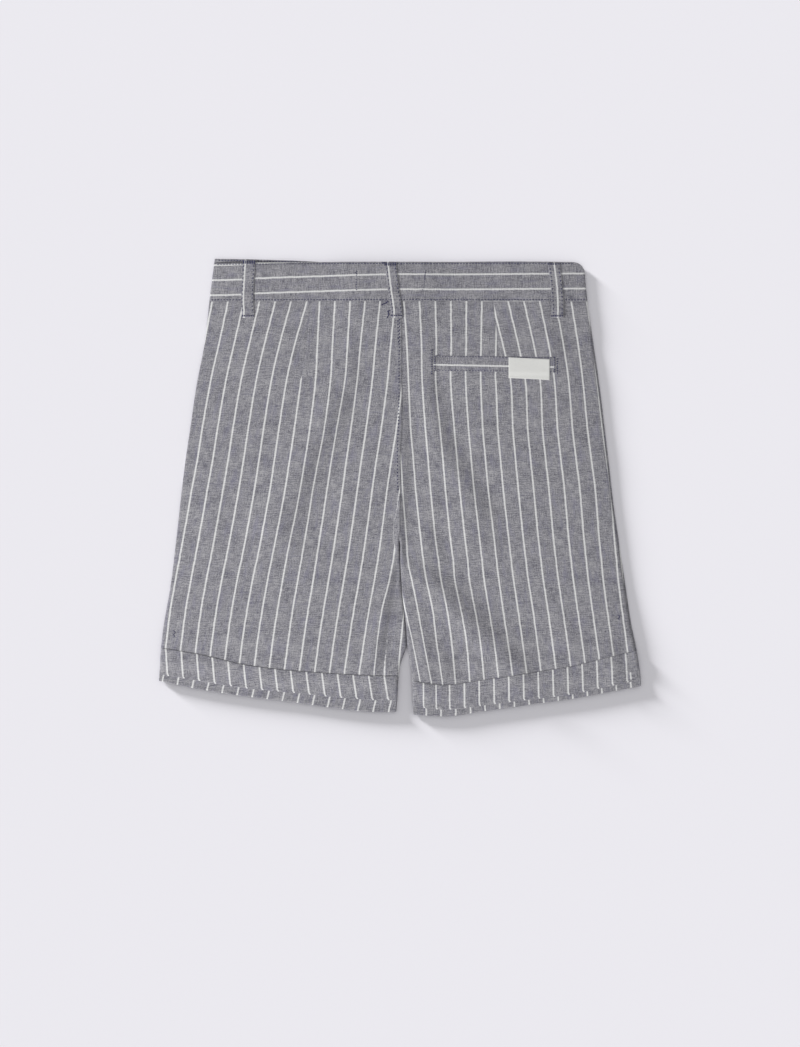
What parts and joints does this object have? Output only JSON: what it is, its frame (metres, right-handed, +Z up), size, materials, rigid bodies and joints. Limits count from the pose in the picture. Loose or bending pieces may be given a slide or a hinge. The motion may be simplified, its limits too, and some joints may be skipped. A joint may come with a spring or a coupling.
{
  "type": "bermuda shorts",
  "caption": "Child's pinstriped chambray bermuda shorts laid flat, back uppermost, with belt loops, darts, a welt pocket, a woven label and turned-up hems.",
  "frame": {"origin": "on the table, under the middle of the garment's outline", "axes": "+X across the garment towards the wearer's right side, +Y from the hems to the waist, +Z up from the table, out of the back of the garment"},
  "size_m": [0.41, 0.3892, 0.0087],
  "materials": {
    "striped_chambray": "plain-woven blue-grey cloth with slubs and fine white stripes",
    "woven_tape": "off-white woven tape",
    "navy_button": "satin"
  },
  "bodies": {
    "root": {"back_left": "striped_chambray", "back_right": "striped_chambray", "front_left": "striped_chambray", "front_right": "striped_chambray", "cuff_back_left": "striped_chambray", "cuff_back_right": "striped_chambray", "cuff_front_left": "striped_chambray", "cuff_front_right": "striped_chambray", "waistband_back": "striped_chambray", "waistband_front_left": "striped_chambray", "waistband_front_right": "striped_chambray", "loop_back_left": "striped_chambray", "loop_back_centre": "striped_chambray", "loop_back_right": "striped_chambray", "loop_front_left": "striped_chambray", "loop_front_right": "striped_chambray", "pocket_welt": "striped_chambray", "pocket_label": "woven_tape", "button": "navy_button"}
  },
  "joints": []
}
